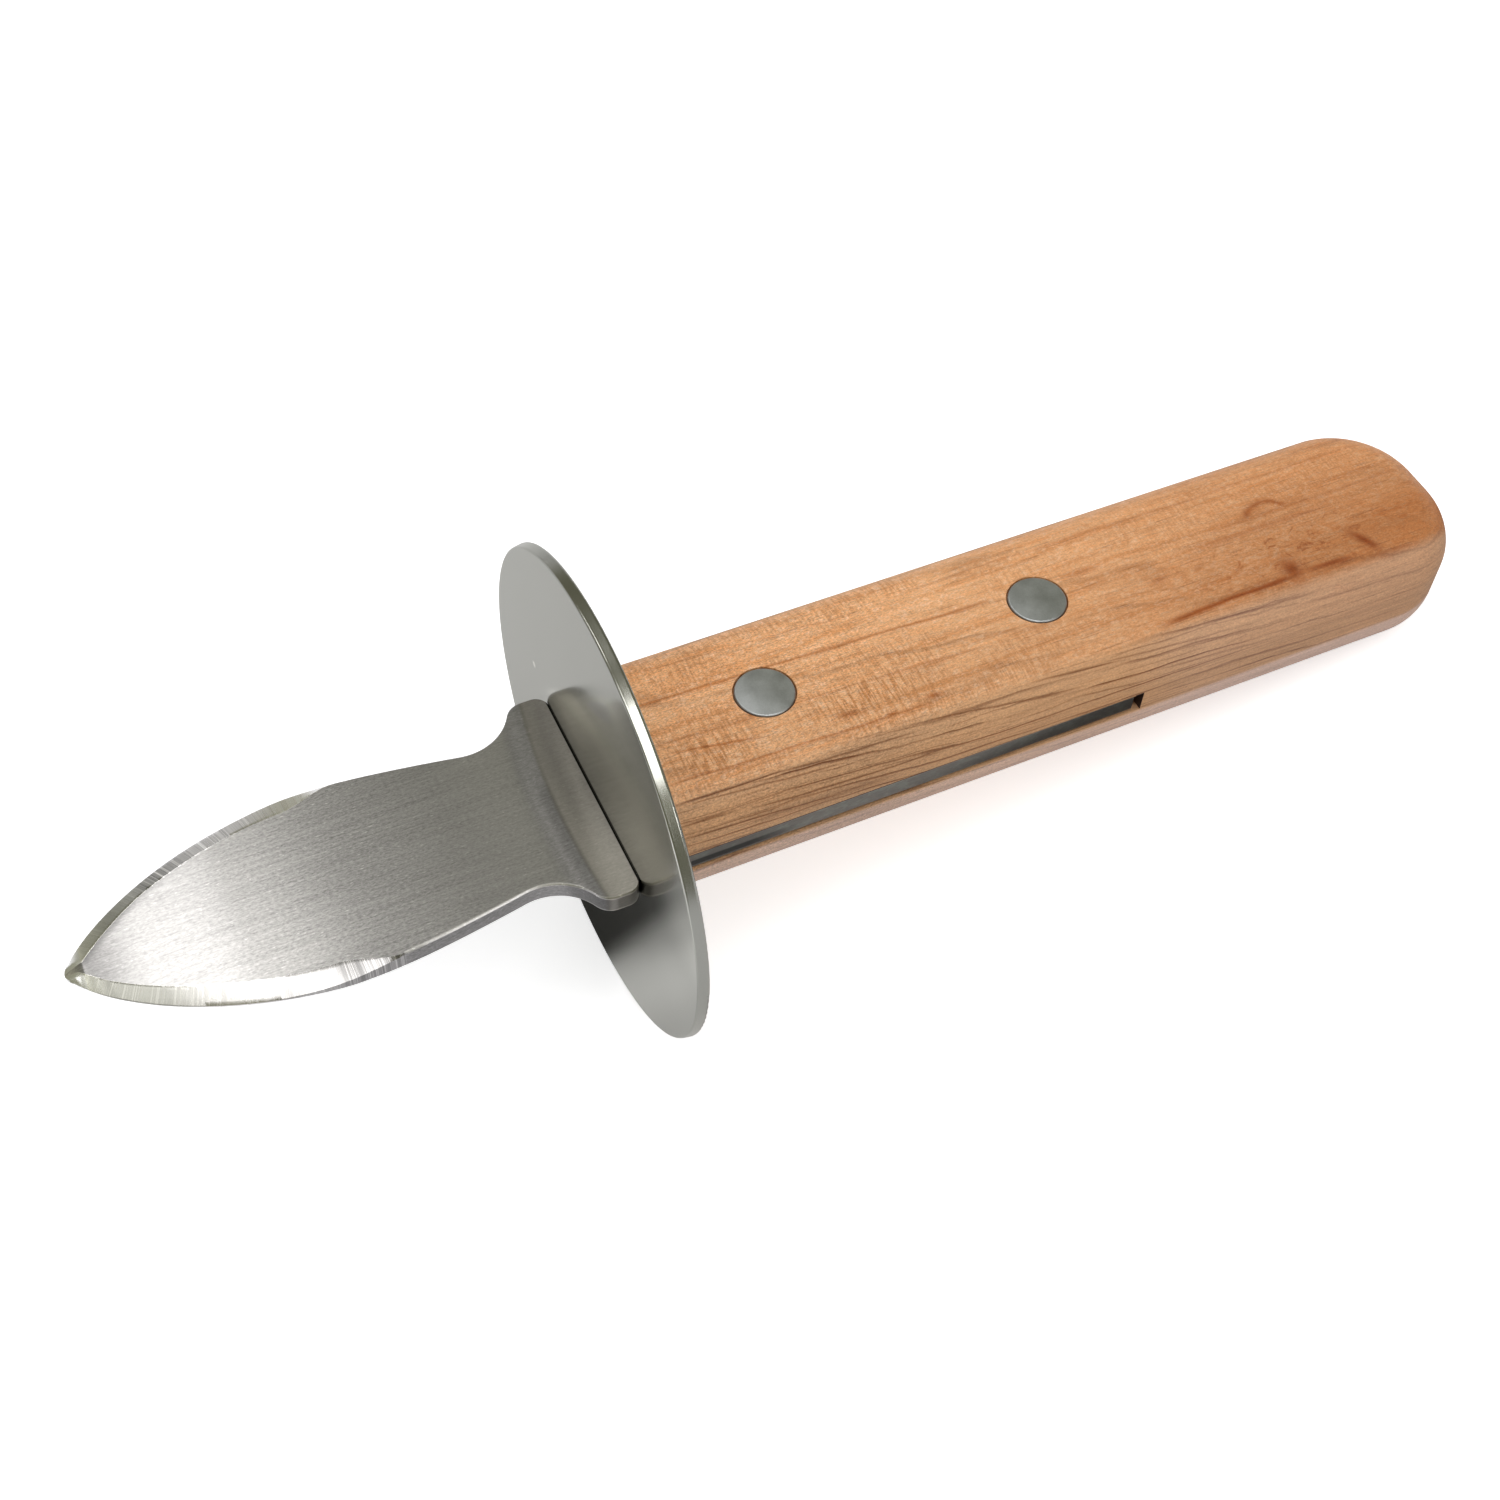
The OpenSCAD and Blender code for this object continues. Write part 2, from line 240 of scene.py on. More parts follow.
class Sheet:
    """A material's node sheet: every node is added by one method."""

    def __init__(self, name=None, tree=None):
        if name:
            self.material = bpy.data.materials.new(name)
            self.material.use_nodes = True
            tree = self.material.node_tree
        self.tree = tree
        tree.nodes.clear()

    def add(self, kind, settings=None, values=(), out=0):
        """Adds a node: its settings first, then the values or wires of its inputs."""
        node = self.tree.nodes.new(kind)
        for key, value in (settings or {}).items():
            setattr(node, key, value)
        pairs = values.items() if isinstance(values, dict) else enumerate(values)
        for key, value in pairs:
            if isinstance(value, Wire):
                self.tree.links.new(value.socket, node.inputs[key])
            elif value is not None:
                node.inputs[key].default_value = value
        return Wire(self, node.outputs[out]) if len(node.outputs) else None

    def millimetres(self):
        """Object coordinates in millimetres."""
        place = self.add("ShaderNodeTexCoord", out="Object")
        return self.scaled(place, TO_MM)

    def noise(self, place, per_mm, detail=2.0, rough=0.5, twist=0.0):
        """Noise of 0 to 1 with its own number of waves per millimetre along each axis."""
        where = self.add("ShaderNodeVectorMath", {"operation": "MULTIPLY"}, (place, per_mm))
        return self.add(
            "ShaderNodeTexNoise", None,
            {"Vector": where, "Scale": 1.0, "Detail": detail, "Roughness": rough,
             "Distortion": twist})

    def attribute(self, name):
        """A value that is stored on the mesh."""
        return self.add("ShaderNodeAttribute", {"attribute_name": name}, out="Fac")

    def scaled(self, vector, factor):
        """A place or a colour times a value."""
        return self.add(
            "ShaderNodeVectorMath", {"operation": "SCALE"}, {0: vector, "Scale": factor})

    def axes(self, place):
        """The X, Y and Z of a place."""
        split = self.add("ShaderNodeSeparateXYZ", None, (place,)).socket.node
        return tuple(Wire(self, socket) for socket in split.outputs)

    def mix(self, factor, first, second, blend="MIX"):
        """Mixes two colours."""
        first, second = (c if isinstance(c, Wire) else (*c, 1.0) for c in (first, second))
        return self.add(
            "ShaderNodeMix", {"data_type": "RGBA", "blend_type": blend},
            {0: factor, 6: first, 7: second}, out=2)

    def bump(self, height, strength, distance):
        """A Bump node for a height of 0 to 1."""
        return self.add(
            "ShaderNodeBump", None,
            {"Height": height, "Strength": strength, "Distance": distance})

    def finish(self, **values):
        """The surface shader and the output. Socket names have underscores for spaces."""
        named = {key.replace("_", " "): value for key, value in values.items()}
        shader = self.add("ShaderNodeBsdfPrincipled", None, named)
        self.add("ShaderNodeOutputMaterial", None, {"Surface": shader})
        return self.material


def wave(s, *turns):
    """A fixed wavering of about -1 to 1: the mean of sines whose wavelengths are given."""
    return sum(np.sin(2 * math.pi * s / t + 1.7 * i) for i, t in enumerate(turns)) / len(turns)


def share(v, a, b):
    """Share from 0 to 1 of the way from a to b, eased at both ends."""
    t = np.clip((v - a) / (b - a), 0.0, 1.0)
    return t * t * (3 - 2 * t)


def arc(radius, off):
    """Height of a circle above its middle line, at a distance off its centre."""
    return np.sqrt(np.maximum(radius ** 2 - off ** 2, 0))


def new_piece(name, mesh, material, node, sharp=35):
    """Puts a mesh in the scene as a piece that stands for a node and rides with the knife."""
    tool = bmesh.new()
    tool.from_mesh(mesh)
    bmesh.ops.recalc_face_normals(tool, faces=tool.faces)
    tool.to_mesh(mesh)
    tool.free()
    mesh.shade_smooth()
    mesh.set_sharp_from_angle(angle=math.radians(sharp))
    piece = bpy.data.objects.new(name, mesh)
    bpy.context.scene.collection.objects.link(piece)
    mesh.materials.append(material)
    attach(piece, BODY)
    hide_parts(node)
    return piece


def skin(rings, around):
    """Point numbers of closed rings, and the quads that join each ring to the next."""
    index = np.arange(rings * around).reshape(rings, around)
    a, b = index[:-1], index[1:]
    return index, np.stack([a, np.roll(a, -1, 1), np.roll(b, -1, 1), b], -1).reshape(-1, 4)


def loft_mesh(name, points):
    """A closed skin over points of shape (rings, around, 3), with a flat cap at each end."""
    index, quads = skin(*points.shape[:2])
    faces = quads.tolist() + [index[0, ::-1].tolist(), index[-1].tolist()]
    mesh = bpy.data.meshes.new(name)
    mesh.from_pydata(points.reshape(-1, 3).tolist(), [], faces)
    return mesh


class BladeShape:
    """The blade's surface as functions of the distance s behind the tip."""

    def __init__(self, sizes):
        self.k = sizes
        self.neck_at = BLADE_LENGTH - sizes.neck_to_guard
        self.hollow_y = sizes.neck_width / 2 + sizes.hollow_radius
        self.corner_y = sizes.shoulder_width / 2 - sizes.corner_radius
        reach = sizes.hollow_radius + sizes.corner_radius
        drop = self.hollow_y - self.corner_y
        self.corner_at = self.neck_at + math.sqrt(reach ** 2 - drop ** 2)
        run = self.corner_at - self.neck_at
        self.meet_at = self.neck_at + run * sizes.hollow_radius / reach
        self.join_at = self.neck_at - sizes.hollow_radius * math.sin(sizes.neck_angle)
        join_y = sizes.neck_width / 2 + sizes.hollow_radius * (1 - math.cos(sizes.neck_angle))
        self.fall = sizes.belly_width / 2 - join_y
        self.fall_power = (self.join_at - sizes.belly_at) * math.tan(sizes.neck_angle) / self.fall
        self.bevel_end = sizes.belly_at + WIDTH_RUN[1]
        self.grind_at = BLADE_LENGTH - sizes.grind_to_guard
        self.rear_at = BLADE_LENGTH - sizes.rear_radius
        self.rear_y = sizes.shoulder_width / 2 - sizes.rear_radius

    def half_width(self, s):
        """An ogive to the belly, a slack S to the neck, a hollow arc and two round corners."""
        k = self.k
        gone = np.clip(1 - s / k.belly_at, 0, 1)
        r = k.nose_radius
        nose = np.sqrt(r ** 2 - (r - np.clip(s, 0, r)) ** 2)
        ogive = k.belly_width / 2 * (1 - gone ** OGIVE[0]) ** OGIVE[1]
        ogive = np.maximum(np.maximum(ogive, nose), 0.2 * MM)
        gone = np.clip((s - k.belly_at) / (self.join_at - k.belly_at), 0, 1)
        slack = k.belly_width / 2 - self.fall * gone ** self.fall_power
        hollow = self.hollow_y - arc(k.hollow_radius, s - self.neck_at)
        corner = self.corner_y + arc(k.corner_radius, s - self.corner_at)
        rear = self.rear_y + arc(k.rear_radius, s - self.rear_at)
        return np.select(
            [s < k.belly_at, s < self.join_at, s < self.meet_at, s < self.corner_at,
             s < self.rear_at],
            [ogive, slack, hollow, corner, k.shoulder_width / 2 + 0 * s], rear)

    def half_thickness(self, s, y):
        """Thinner towards the tip, and full again behind a step that bows towards the tip."""
        k = self.k
        bow = STEP_BOW * MM * (y / (k.shoulder_width / 2) + STEP_TURN) ** 2
        step = share(s - bow, self.grind_at - STEP_RUN[0], self.grind_at + STEP_RUN[1])
        ground = k.tip_thickness + (k.blade_thickness - k.tip_thickness) * share(s, 0, TAPER)
        return (ground + (k.tang_thickness - k.blade_thickness) * step) / 2

    def bevel(self, s, far=0.0):
        """Width of the bevel on the flat, and how much of its full depth it has.

        The width grows from the tip to the belly and runs out behind it. The far one starts
        wider at the tip.
        """
        k = self.k
        wide = 1 - share(s, k.belly_at - WIDTH_RUN[0], self.bevel_end)
        deep = 1 - share(s, k.belly_at - DEPTH_RUN[0], k.belly_at + DEPTH_RUN[1])
        full = k.tip_bevel_width + (k.bevel_width - k.tip_bevel_width) * share(s, 0, TAPER)
        full = full * (1 + FAR_WIDER * far * (1 - share(s, 2 * MM, 9 * MM)))
        ragged = 1 + 0.012 * wave(s, 5.3 * MM, 2.3 * MM, 1.1 * MM)
        width = k.eased_edge + (full * ragged - k.eased_edge) * wide
        return np.minimum(0.8 * self.half_width(s), width), deep

    def stations(self):
        """Distances behind the tip, closer together where the outline turns."""
        k = self.k
        parts = (
            (0, 0.4 * MM, 12), (0.4 * MM, 2 * MM, 20), (2 * MM, k.belly_at, 150),
            (k.belly_at, self.join_at, 120), (self.join_at, self.meet_at, 60),
            (self.meet_at, self.corner_at, 16), (self.corner_at, self.rear_at, 6),
        )
        turn = np.sin(np.linspace(0, math.pi / 2, 15))
        straight = [np.linspace(a, b, n, endpoint=False) for a, b, n in parts]
        return np.concatenate(straight + [self.rear_at + k.rear_radius * turn])

    def rings(self):
        """Each ring goes from the +Y edge over the upper face, and back under the lower face.

        The edge is upright, each bevel rises from it in nearly a straight line, and the flat
        between them is at half the thickness. Near the tip all of it falls to the edge's height.
        """
        k = self.k
        s = self.stations()[:, None]
        w = self.half_width(s) + 0.004 * MM * wave(s, 2.9 * MM, 1.3 * MM) * (s < self.bevel_end)
        near, deep = self.bevel(s)
        far = self.bevel(s, 1.0)[0]
        side = self.half_thickness(s, w) - 0.8 * k.eased_edge
        e = side - (side - k.edge_thickness / 2) * deep
        down = np.linspace(0, 1, BEVEL_POINTS)[None, :]
        flat = np.cos(np.linspace(0, math.pi, FLAT_POINTS + 2))[None, 1:-1]

        def slope(width, inner):
            """Half a ring's edge, lip and bevel, from the middle of the edge to the flat."""
            y = np.concatenate([w + 0 * s, w + 0 * s, w - LIP - (width - LIP) * down], 1)
            z = np.concatenate([0 * s, 0.7 * e, e + (inner - e) * down ** 0.97], 1)
            return y, z

        y_far, z_far = slope(far, self.half_thickness(s, w - far))
        y_near, z_near = slope(near, self.half_thickness(s, near - w))
        y_flat = (near - far) / 2 + (w - (near + far) / 2) * flat
        y = np.concatenate([y_far, y_flat, -y_near[:, ::-1]], 1)
        z = np.concatenate([z_far, self.half_thickness(s, y_flat), z_near[:, ::-1]], 1)
        nose = 1 - np.clip(1 - s / NOSE_SLOPE, 0, 1) ** 1.5
        z = np.minimum(z, e + (self.half_thickness(s, 0) - e) * nose + 9 * MM * (nose >= 1))
        y = np.concatenate([y, y[:, -2:0:-1]], 1)
        z = np.concatenate([z, -z[:, -2:0:-1]], 1)
        x = np.broadcast_to(TIP_X + s, y.shape)
        return np.stack([x, y, z], -1)

    def tang_rings(self, shoulder_ring):
        """The shoulder's ring drawn in to the tang's section, at the guard and its far end."""
        k = self.k
        half_w, half_t = k.tang_width / 2, k.tang_thickness / 2
        ring = shoulder_ring.copy()
        ring[:, 1] = np.clip(ring[:, 1] * half_w / np.abs(ring[:, 1]).max(), -half_w, half_w)
        ring[:, 2] = np.clip(ring[:, 2], -half_t, half_t)
        rings = []
        for x in (SHOULDER_X, TANG_END_X):
            row = ring.copy()
            row[:, 0] = x
            rings.append(row)
        return np.stack(rings)


def mark_bevels(mesh, shape):
    """Stores where each point is for the steel: its place along the edge (the far edge 40 mm on),
    whether it is on a bevel or on the near rim behind the bevels, and its distance inside the
    bevel's upper line, in millimetres.
    """
    count = len(mesh.vertices)
    place = np.empty(count * 3)
    mesh.vertices.foreach_get("co", place)
    place = place.reshape(-1, 3)
    s = np.clip(place[:, 0] - TIP_X, 0, BLADE_LENGTH)
    step = 0.05 * MM
    w = shape.half_width(s)
    slope = (shape.half_width(s + step) - shape.half_width(s - step)) / (2 * step)
    gap = w - np.abs(place[:, 1])
    along = s - gap * slope / (1 + slope ** 2)
    b, deep = shape.bevel(s, (place[:, 1] > 0).astype(float))
    on_bevel = ((gap <= b * 1.02) & (deep > 0.02)).astype(float) * (s < shape.bevel_end)
    on_rim = (gap < 0.2 * MM).astype(float) * (s >= shape.bevel_end) * (place[:, 1] < 0)
    along = along * TO_MM + 40 * (place[:, 1] > 0)
    inside = (gap - b) * TO_MM
    for name, values in (("edge_place", along), ("on_bevel", on_bevel), ("on_rim", on_rim),
                         ("from_bevel", inside)):
        layer = mesh.attributes.new(name, "FLOAT", "POINT")
        layer.data.foreach_set("value", values.astype(np.float32))


def cut_holes(piece, centres, radius):
    """Drills upright holes through a piece with a Boolean, applied to its mesh."""
    for place in centres:
        bpy.ops.mesh.primitive_cylinder_add(
            vertices=64, radius=radius, depth=20 * MM, location=(place, 0, 0))
        drill = bpy.context.active_object
        cut = piece.modifiers.new("hole", "BOOLEAN")
        cut.operation = "DIFFERENCE"
        cut.object = drill
        with bpy.context.temp_override(
                object=piece, active_object=piece, selected_objects=[piece]):
            bpy.ops.object.modifier_apply(modifier=cut.name)
        bpy.data.objects.remove(drill)


def lathe_mesh(name, profile, centre_x):
    """Turns a profile of (radius, height) about an upright axis. It starts and ends on it."""
    turn = np.linspace(0, 2 * math.pi, AROUND, endpoint=False)
    radius, height = profile[1:-1, 0, None], profile[1:-1, 1, None]
    x = centre_x + radius * np.cos(turn)
    y = radius * np.sin(turn)
    z = height + 0 * turn
    rings = np.stack([x, y, z], -1)
    count = len(rings)
    index, quads = skin(count, AROUND)
    ends = np.array([[centre_x, 0, profile[0, 1]], [centre_x, 0, profile[-1, 1]]])
    fans = [
        np.stack([np.full(AROUND, count * AROUND + end), np.roll(row, -1 + 2 * end), row], -1)
        for end, row in enumerate((index[0], index[-1]))
    ]
    mesh = bpy.data.meshes.new(name)
    points = np.concatenate([rings.reshape(-1, 3), ends])
    mesh.from_pydata(points.tolist(), [], quads.tolist() + fans[0].tolist() + fans[1].tolist())
    return mesh


def head_profile(radius, thickness, dome, rim):
    """Half section of a rivet head from its crown to its underside: a dome, then a rolled rim."""
    dome_radius = (radius ** 2 + dome ** 2) / (2 * dome)
    crown = thickness + dome
    r = np.linspace(0, radius - rim, 24)
    top = crown - dome_radius + np.sqrt(dome_radius ** 2 - r ** 2)
    turn = np.linspace(0, math.pi / 2, 9)[1:]
    start = top[-1]
    roll_r = radius - rim + rim * np.sin(turn)
    roll_z = start - rim + rim * np.cos(turn)
    return np.concatenate(
        [np.stack([r, top], 1), np.stack([roll_r, roll_z], 1), [[radius, 0.0]]])


def rivet_mesh(name, node, sizes, hollow):
    """One rivet half. The solid half has a plain shank, the hollow half a bored one."""
    low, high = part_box(node)
    radius = (high.x - low.x) / 2
    full = high.z - low.z
    head = head_profile(radius, sizes.head_thickness, sizes.head_dome, sizes.rim_radius)
    shank = -(full - sizes.head_thickness - sizes.head_dome)
    bore = sizes.shank_diameter / 2
    outer = sizes.sleeve_diameter / 2 if hollow else bore
    rest = [[outer, 0.0], [outer, shank]]
    if hollow:
        rest += [[bore, shank], [bore, -sizes.sleeve_floor], [0.0, -sizes.sleeve_floor]]
    else:
        rest += [[0.0, shank]]
    profile = np.concatenate([head, rest])
    seat = high.z - sizes.head_thickness - sizes.head_dome
    if hollow:
        seat = low.z + sizes.head_thickness + sizes.head_dome
        profile = profile * (1, -1)
    profile[:, 1] += seat
    return lathe_mesh(name, profile, (low.x + high.x) / 2)


def blade_material(finishes, shape):
    """Steel brushed along the blade, with coarse marks square to the edge on the bevels.

    The base colour also carries the light of the photograph, painted in: brightness ramps along
    the blade, a painted dark band at the step, painted shade on the shoulder and a painted
    highlight on the edge behind the near bevel.
    """
    s = Sheet("blade_steel")
    mm = s.millimetres()
    x, y, z = s.axes(mm)
    brush = s.noise(mm, (0.07, 3.6, 3.6), 4.0, 0.75)
    fine = s.noise(mm, (2.4, 6.0, 6.0), 3.0, 0.75)
    clouds = s.noise(mm, (0.09, 0.16, 0.16), 3.0, 0.55)
    specks = s.noise(mm, (1.4, 6.0, 6.0), 2.0, 0.6).ramp(0.62, 0.76)
    along = s.attribute("edge_place")
    bevel = s.attribute("on_bevel")
    where = s.add("ShaderNodeCombineXYZ", None, (along, 0.0, 0.0))
    marks = s.noise(where, (1.6, 1.0, 1.0), 5.0, 0.75)
    cuts = s.noise(where, (2.8, 1.0, 1.0), 3.0, 0.8).ramp(0.50, 0.60)
    step_x = (TIP_X + shape.grind_at) / MM
    across = y / (shape.k.shoulder_width / 2 / MM) + STEP_TURN
    behind = x - step_x - across * across * STEP_BOW
    # painted shade: a dark band across the ground step
    plunge_shade = behind.ramp(-1.9, -0.8) * behind.ramp(0.8, 1.5, 1.0, 0.0)
    scale = behind.ramp(0.75, 1.15)
    guard = SHOULDER_X / MM
    # painted shadow: nearly black on the blade where the shoulder meets the guard
    joint_shadow = x.ramp(guard - 0.20, guard - 0.08)
    level = z.call("ABSOLUTE")
    tip = TIP_X / MM
    # painted shade on the upright edge walls behind the bevels
    wall_shade = level.ramp(0.78, 0.86, 1.0, 0.0) * (1 - bevel) * x.ramp(tip + 26.5, tip + 29.5)
    rim = s.attribute("on_rim")
    # painted highlight: a bright line along the near rim behind the bevels, a little rougher there
    painted_edge_highlight = rim * level.ramp(0.84, 0.90) * (1 - bevel) * (0.5 + specks)
    tang = x.ramp(guard, guard + 0.1)
    patches = s.noise(mm, (0.5, 0.9, 0.9), 3.0, 0.6)
    polish = x.ramp(tip + 10.0, tip + 20.0, 0.75, 1.2) * x.ramp(tip + 26.0, tip + 42.0, 1.0, 0.6)
    grain = (brush - 0.5) * 0.85 + (fine - 0.5) * 1.5 + (clouds - 0.5) * 0.12 + specks * 0.7
    grain = grain * polish * (1 - scale * 0.5)
    far = y.ramp(-0.1, 0.1)
    # painted light: brightness ramps along the far bevel and the near bevel
    far_bevel_light = x.ramp(tip + 8.0, tip + 16.0, 0.05, 0.82) + x.ramp(tip + 20.0, tip + 24.0, 0.0, 0.6)
    far_bevel_light = far_bevel_light + x.ramp(tip + 1.5, tip + 5.5, 0.8, 0.0)
    near_bevel_light = x.ramp(tip + 7.0, tip + 12.0) * x.ramp(tip + 14.0, tip + 18.0, 1.0, 0.0)
    near_bevel_light = near_bevel_light + x.ramp(tip + 2.0, tip + 3.5, 0.6, 0.0)
    near_bevel_light = near_bevel_light - x.ramp(tip + 20.0, tip + 22.0) * 0.1
    coarse = far * x.ramp(tip + 7.0, tip + 10.0) * x.ramp(tip + 17.0, tip + 21.0, 3.0, 0.6)
    coarse = coarse + (1 - far) * x.ramp(tip + 21.0, tip + 24.0, 0.0, 2.4) + 1.0
    ground = ((marks - 0.5) * 0.8 + (cuts - 0.5) * 0.26) * coarse + 0.19
    # the grinding marks get the painted light along the bevels and a painted highlight at the nose
    ground = ground + far * far_bevel_light + (1 - far) * near_bevel_light + x.ramp(tip + 0.8, tip + 2.2, 2.2, 0.0)
    inside = s.attribute("from_bevel")
    # painted shade on the flat along the far bevel near the tip
    dusk = inside.ramp(0.0, 1.1, 0.4, 0.0) * far * x.ramp(tip + 6.0, tip + 15.0, 1.0, 0.0)
    # painted light on the flats: dark at the tip with a painted highlight at the nose, ramps along
    # the blade, slightly darker towards the far side near the tip
    flat = x.ramp(tip + 1.0, tip + 8.0, 0.45, 1.0) * x.ramp(tip + 17.0, tip + 28.0, 1.05, 0.80)
    flat = flat * x.ramp(tip + 36.0, tip + 44.0, 1.0, 1.22) * (1 - dusk)
    flat = flat + x.ramp(tip + 0.2, tip + 2.2, 1.6, 0.0)
    flat = flat * (1 - y * x.ramp(tip + 20.0, tip + 28.0, 0.012, 0.0))
    # painted shade: a further dark band at the step, stronger on the near half, and shade on the
    # shoulder behind it (rest), lighter only towards the near edge
    step_shade = behind.ramp(-0.6, 0.5) * behind.ramp(0.9, 1.5, 1.0, 0.0) * y.ramp(0.0, 5.0, 0.3, 0.0)
    rest = behind.ramp(0.8, 2.8) * y.ramp(-10.0, 1.0) * 0.43
    light = (1 - bevel) * (grain + 1.0) * flat + bevel * (ground + 1.0)
    # painted shade on the tang in the slot, darkest towards the guard, and the painted dark band at
    # the step
    light = light * (1 - tang * x.ramp(-14.0, -4.0, 0.4, 0.14)) * (1 - plunge_shade * 0.34)
    # painted shadow: a dark line along the tang's edge just below its middle, near the guard
    tang_gap_shadow = tang * x.ramp(-12.0, -5.0, 1.0, 0.0) * z.ramp(-0.9, -0.6) * z.ramp(-0.1, 0.2, 1.0, 0.0)
    light = light * (1 - wall_shade * 0.28) * (1 - step_shade) * (1 - rest) * (1 - tang_gap_shadow * 0.85)
    light = (light + painted_edge_highlight * 1.5) * (1 - joint_shadow * (1 - tang) * 0.97)
    shade = s.mix(scale * 0.8, finishes.blade_steel, finishes.scale_steel)
    shade = s.mix(tang * patches.ramp(0.45, 0.6) * 0.8, shade, finishes.tang_stain)
    # painted reflection: the bevels near the tip get a faint olive tint
    near_tip = bevel * x.ramp(tip + 6.0, tip + 12.0, 1.0, 0.0)
    shade = s.mix(near_tip, shade, finishes.tip_reflection_tint, "MULTIPLY")
    shade = s.scaled(shade, light)
    rough = 0.285 + clouds * 0.01 + scale * 0.03 + painted_edge_highlight * 0.15
    rough = rough * (1 - bevel) + bevel * (0.26 + far * 0.02 + (marks - 0.5) * 0.2)
    height = (brush * 0.06 + fine * 0.04) * (1 - bevel) + bevel * (marks * 0.6 + cuts * 0.4)
    normal = s.bump(height, 0.25, 0.004 * MM)
    return s.finish(Base_Color=shade, Metallic=1.0, Roughness=rough, Normal=normal)


def guard_material(finishes, shape):
    """Satin sheet steel with faint rolling marks, a small nick and a painted shadow round the
    blade.

    The base colour also carries the light of the photograph: the front face is lighter beside
    the blade's reflection, and the rim has one bright stretch.
    """
    s = Sheet("guard_steel")
    mm = s.millimetres()
    rolled = s.noise(mm, (2.0, 0.12, 5.5), 3.0, 0.6)
    clouds = s.noise(mm, (0.07, 0.09, 0.07), 3.0, 0.5)
    fine = s.noise(mm, (9.0, 9.0, 9.0), 2.0, 0.6)
    x, y, z = s.axes(mm)
    nick = ((y - 14.7) * (y - 14.7) + (z - 3.5) * (z - 3.5)).ramp(0.02, 0.22, 1.0, 0.0)
    beside = y.call("ABSOLUTE") - shape.rear_y / MM
    over = z.call("ABSOLUTE") - shape.k.tang_thickness / 2 / MM
    off = beside.call("MAXIMUM", over)
    front_x, radius = GUARD_LOW.x / MM, GUARD_HIGH.y / MM
    front = x.ramp(front_x + 0.02, front_x + 0.1, 1.0, 0.0)
    # painted shadow round the blade on the guard's front face, rougher there
    joint_shadow = off.ramp(0.04, 0.22, 1.0, 0.0) * front
    light = 1.0 + (rolled - 0.5) * 0.10 + (clouds - 0.5) * 0.16 + (fine - 0.5) * 0.12 + nick * 1.1
    # painted light: lighter stretches on the front face beside the blade's reflection
    painted_face_light = z.ramp(0.0, 9.0) * y.ramp(-17.0, -9.0, 0.6, 0.85) + z.ramp(12.0, 16.5) * 0.8
    painted_face_light = painted_face_light * z.ramp(17.5, 22.5, 1.0, 0.0)
    painted_face_light = painted_face_light + (y + z * 0.6).ramp(3.0, 9.5) * z.ramp(2.0, 6.0)
    painted_face_light = painted_face_light * (y + z * 0.95).ramp(13.0, 15.2, 1.0, 0.0) * front
    rim = (y * y + z * z).call("SQRT").ramp(radius - 0.2, radius - 0.1)
    glint = rim * z.ramp(4.0, 10.0) * y.ramp(-18.5, -16.0) * y.ramp(-9.5, -5.0, 1.0, 0.0)
    light = light * (1 - joint_shadow * 0.97) * (1 + painted_face_light) * (1 + glint * 0.4)
    shade = s.scaled(finishes.guard_steel, light)
    rough = 0.14 + (clouds - 0.5) * 0.08 + (fine - 0.5) * 0.06 + joint_shadow * 0.4 + rim * 0.07
    height = rolled * 0.04 + fine * 0.04 + nick * 1.2 - (x - front_x) * rim * 12.0
    return s.finish(Base_Color=shade, Metallic=1.0, Roughness=rough,
                    Specular_Tint=(0.88, 0.88, 0.86, 1.0), Normal=s.bump(height, 1.0, 0.008 * MM))


def rivet_material(finishes):
    """Dull steel with small dents and scuffs."""
    s = Sheet("rivet_steel")
    mm = s.millimetres()
    clouds = s.noise(mm, (0.6, 0.6, 0.6), 3.0, 0.6)
    fine = s.noise(mm, (7.0, 7.0, 7.0), 3.0, 0.7)
    light = 1.0 + (clouds - 0.5) * 0.6 + (fine - 0.5) * 0.35
    shade = s.scaled(finishes.rivet_steel, light)
    rough = 0.46 + (clouds - 0.5) * 0.12
    return s.finish(Base_Color=shade, Metallic=1.0, Roughness=rough,
                    Normal=s.bump(clouds * 0.7 + fine * 0.3, 0.3, 0.03 * MM))


